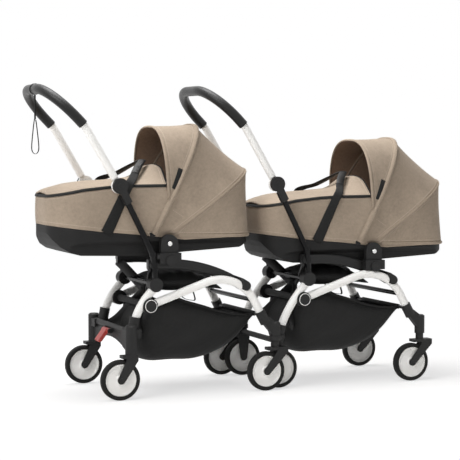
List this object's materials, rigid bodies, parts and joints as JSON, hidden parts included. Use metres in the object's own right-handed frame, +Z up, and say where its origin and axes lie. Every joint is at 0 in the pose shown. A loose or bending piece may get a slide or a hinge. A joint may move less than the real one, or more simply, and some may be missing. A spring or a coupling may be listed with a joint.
{
  "type": "twin pram",
  "caption": "Tandem twin pram: linked compact pushchair frames with swivel front wheels, folding handles, baskets and lift-off hooded carrycots.",
  "frame": {"origin": "bottom centre of the whole object's box, on the ground", "axes": "+X is the direction of travel, +Z is up, +Y is the pram's left side"},
  "size_m": [1.5538, 0.444, 1.0549],
  "materials": {
    "white_tube": "white powder coat",
    "black_tube": "black powder coat",
    "black_plastic": "moulded black plastic",
    "grip": "black stitched leatherette",
    "tyre": "black foam rubber",
    "disc": "white moulded plastic",
    "taupe_cloth": "taupe woven cloth",
    "black_cloth": "black woven cloth",
    "webbing": "black webbing",
    "lining": "pale mattress cover",
    "pedal": "red moulded plastic",
    "button": "white moulded plastic"
  },
  "bodies": {
    "chassis": {"arch_tubes": "white_tube", "rear_legs": "white_tube", "frame_hubs": "black_plastic", "front_ferrules": "black_plastic", "rear_axles": "black_plastic", "lower_tubes": "black_tube", "handle_hubs": "black_plastic", "armrests": "black_plastic", "cot_clamps": "black_plastic", "cross_tubes": "black_tube", "link_arms": "black_plastic", "seat_slings": "black_cloth", "baskets": "black_cloth"},
    "brake": {"brake_pedal": "pedal"},
    "main_handle": {"main_handle_tube": "white_tube", "main_handle_grip": "grip", "wrist_strap": "webbing"},
    "lead_handle": {"lead_handle_tube": "white_tube", "lead_handle_grip": "grip"},
    "main_button": {"main_release_button": "button"},
    "lead_button": {"lead_release_button": "button"},
    "main_front_fork_right": {"main_front_fork_right": "black_plastic"},
    "main_front_fork_left": {"main_front_fork_left": "black_plastic"},
    "lead_front_fork_right": {"lead_front_fork_right": "black_plastic"},
    "lead_front_fork_left": {"lead_front_fork_left": "black_plastic"},
    "main_front_right_wheel": {"main_front_disc_right": "disc", "main_front_tyre_right": "tyre"},
    "main_front_left_wheel": {"main_front_disc_left": "disc", "main_front_tyre_left": "tyre"},
    "main_rear_right_wheel": {"main_rear_disc_right": "disc", "main_rear_tyre_right": "tyre"},
    "main_rear_left_wheel": {"main_rear_disc_left": "disc", "main_rear_tyre_left": "tyre"},
    "lead_front_right_wheel": {"lead_front_disc_right": "disc", "lead_front_tyre_right": "tyre"},
    "lead_front_left_wheel": {"lead_front_disc_left": "disc", "lead_front_tyre_left": "tyre"},
    "lead_rear_right_wheel": {"lead_rear_disc_right": "disc", "lead_rear_tyre_right": "tyre"},
    "lead_rear_left_wheel": {"lead_rear_disc_left": "disc", "lead_rear_tyre_left": "tyre"},
    "main_cot": {"main_cot_tub": "black_plastic", "main_cot_walls": "taupe_cloth", "main_cot_apron": "taupe_cloth", "main_mattress": "lining", "main_carry_strap": "webbing", "main_cot_brackets": "black_plastic", "main_hood_rear_panel": "taupe_cloth", "main_hood_panel": "taupe_cloth"},
    "main_hood": {"main_hood_visor": "taupe_cloth"},
    "lead_cot": {"lead_cot_tub": "black_plastic", "lead_cot_walls": "taupe_cloth", "lead_cot_apron": "taupe_cloth", "lead_mattress": "lining", "lead_carry_strap": "webbing", "lead_cot_brackets": "black_plastic", "lead_hood_rear_panel": "taupe_cloth", "lead_hood_panel": "taupe_cloth"},
    "lead_hood": {"lead_hood_visor": "taupe_cloth"}
  },
  "joints": [
    {"name": "main_front_right_spin", "type": "hinge", "parent": "main_front_fork_right", "child": "main_front_right_wheel", "pos_m": [0.0083, -0.2, 0.068], "axis": [0, 1, 0], "continuous": true},
    {"name": "main_front_left_spin", "type": "hinge", "parent": "main_front_fork_left", "child": "main_front_left_wheel", "pos_m": [0.0083, 0.2, 0.068], "axis": [0, 1, 0], "continuous": true},
    {"name": "main_rear_right_spin", "type": "hinge", "parent": "chassis", "child": "main_rear_right_wheel", "pos_m": [-0.52312, -0.2, 0.068], "axis": [0, 1, 0], "continuous": true},
    {"name": "main_rear_left_spin", "type": "hinge", "parent": "chassis", "child": "main_rear_left_wheel", "pos_m": [-0.52312, 0.2, 0.068], "axis": [0, 1, 0], "continuous": true},
    {"name": "lead_front_right_spin", "type": "hinge", "parent": "lead_front_fork_right", "child": "lead_front_right_wheel", "pos_m": [0.5808, -0.2, 0.068], "axis": [0, 1, 0], "continuous": true},
    {"name": "lead_front_left_spin", "type": "hinge", "parent": "lead_front_fork_left", "child": "lead_front_left_wheel", "pos_m": [0.5808, 0.2, 0.068], "axis": [0, 1, 0], "continuous": true},
    {"name": "lead_rear_right_spin", "type": "hinge", "parent": "chassis", "child": "lead_rear_right_wheel", "pos_m": [0.07538, -0.16, 0.068], "axis": [0, 1, 0], "continuous": true},
    {"name": "lead_rear_left_spin", "type": "hinge", "parent": "chassis", "child": "lead_rear_left_wheel", "pos_m": [0.07538, 0.16, 0.068], "axis": [0, 1, 0], "continuous": true},
    {"name": "main_swivel_right", "type": "hinge", "parent": "chassis", "child": "main_front_fork_right", "pos_m": [0.0443, -0.2, 0.171], "axis": [0, 0, 1], "range_deg": [-6, 6]},
    {"name": "main_swivel_left", "type": "hinge", "parent": "chassis", "child": "main_front_fork_left", "pos_m": [0.0443, 0.2, 0.171], "axis": [0, 0, 1], "range_deg": [-6, 6]},
    {"name": "main_handle_fold", "type": "hinge", "parent": "chassis", "child": "main_handle", "pos_m": [-0.51812, 0, 0.714], "axis": [0, 1, 0], "range_deg": [0, 60]},
    {"name": "main_button_press", "type": "slide", "parent": "chassis", "child": "main_button", "axis": [0, -1, 0], "range_m": [0, 0.004], "stiffness_N_per_m": 300},
    {"name": "main_cot_lift", "type": "slide", "parent": "chassis", "child": "main_cot", "axis": [0, 0, 1], "range_m": [0, 0.08]},
    {"name": "main_hood_fold", "type": "hinge", "parent": "main_cot", "child": "main_hood", "pos_m": [-0.39412, 0, 0.55], "axis": [0, 1, 0], "range_deg": [0, 28], "deforming": ["main_hood_panel"]},
    {"name": "lead_swivel_right", "type": "hinge", "parent": "chassis", "child": "lead_front_fork_right", "pos_m": [0.6168, -0.2, 0.171], "axis": [0, 0, 1], "continuous": true},
    {"name": "lead_swivel_left", "type": "hinge", "parent": "chassis", "child": "lead_front_fork_left", "pos_m": [0.6168, 0.2, 0.171], "axis": [0, 0, 1], "continuous": true},
    {"name": "lead_handle_fold", "type": "hinge", "parent": "chassis", "child": "lead_handle", "pos_m": [0.05438, 0, 0.714], "axis": [0, 1, 0], "range_deg": [0, 60]},
    {"name": "lead_button_press", "type": "slide", "parent": "chassis", "child": "lead_button", "axis": [0, -1, 0], "range_m": [0, 0.004], "stiffness_N_per_m": 300},
    {"name": "lead_cot_lift", "type": "slide", "parent": "chassis", "child": "lead_cot", "axis": [0, 0, 1], "range_m": [0, 0.08]},
    {"name": "lead_hood_fold", "type": "hinge", "parent": "lead_cot", "child": "lead_hood", "pos_m": [0.38388, 0, 0.503], "axis": [0, 1, 0], "range_deg": [0, 28], "deforming": ["lead_hood_panel"]},
    {"name": "brake_press", "type": "hinge", "parent": "chassis", "child": "brake", "pos_m": [-0.50312, 0, 0.212], "axis": [0, 1, 0], "range_deg": [-20, 0]}
  ]
}
